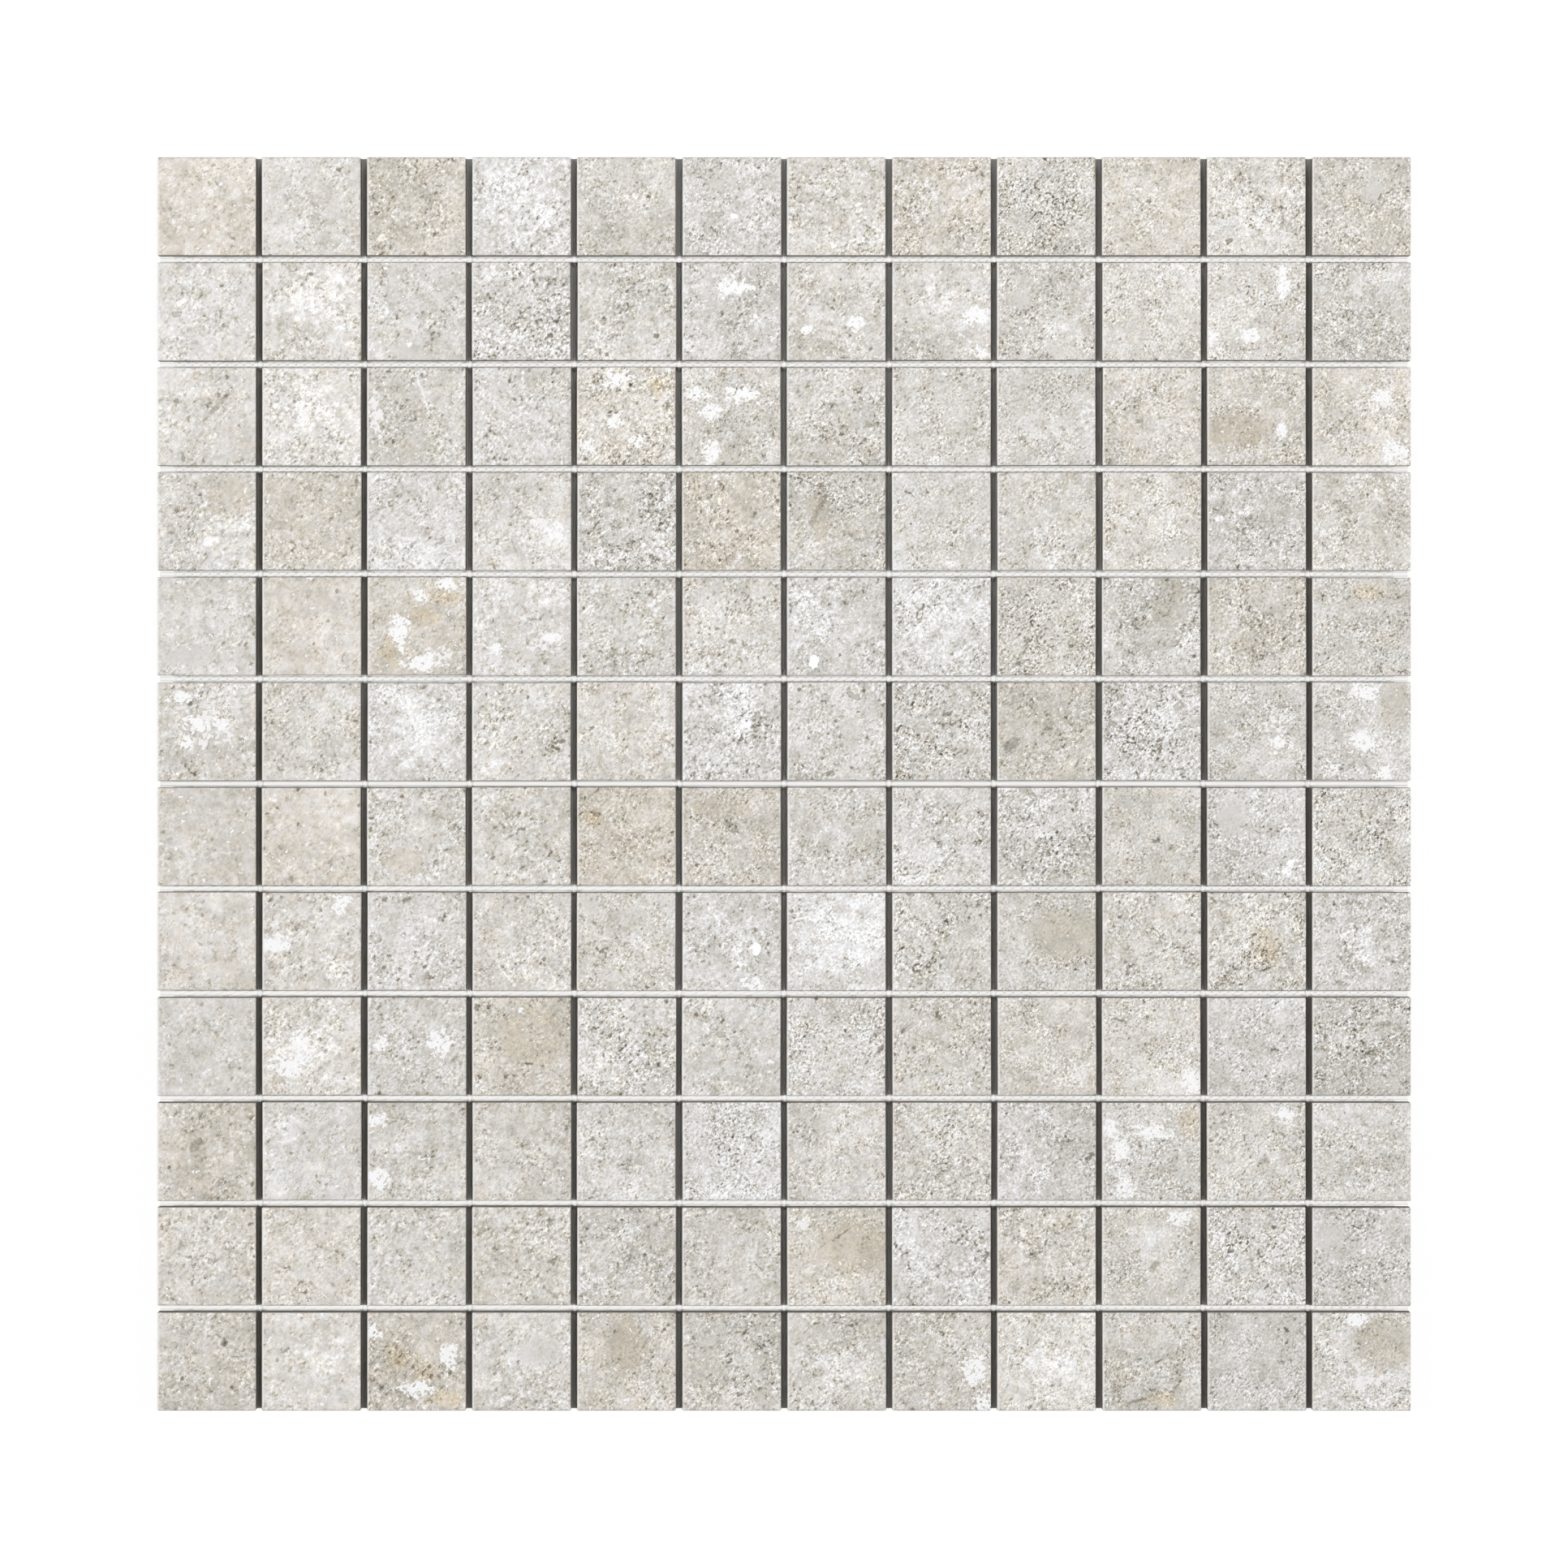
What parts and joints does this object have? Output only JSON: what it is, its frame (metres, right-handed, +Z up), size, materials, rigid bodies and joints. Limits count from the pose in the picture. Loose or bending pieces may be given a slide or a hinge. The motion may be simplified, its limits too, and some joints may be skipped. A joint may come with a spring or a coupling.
{
  "type": "mosaic tile sheet",
  "caption": "Square sheet of small square stone-look porcelain chips with open joints, glued by their backs to a white knitted net of cords and threads.",
  "frame": {"origin": "middle of the sheet, on the underside of the backing net", "axes": "+Z up out of the chip faces; X along the net's cords, Y along its threads, with the picture's top edge towards +Y"},
  "size_m": [0.2996, 0.2996, 0.0064],
  "materials": {
    "porcelain": "matte",
    "net_yarn": "matte"
  },
  "bodies": {
    "root": {"tile_row_01": "porcelain", "tile_row_02": "porcelain", "tile_row_03": "porcelain", "tile_row_04": "porcelain", "tile_row_05": "porcelain", "tile_row_06": "porcelain", "tile_row_07": "porcelain", "tile_row_08": "porcelain", "tile_row_09": "porcelain", "tile_row_10": "porcelain", "tile_row_11": "porcelain", "tile_row_12": "porcelain", "backing_net": "net_yarn"}
  },
  "joints": []
}
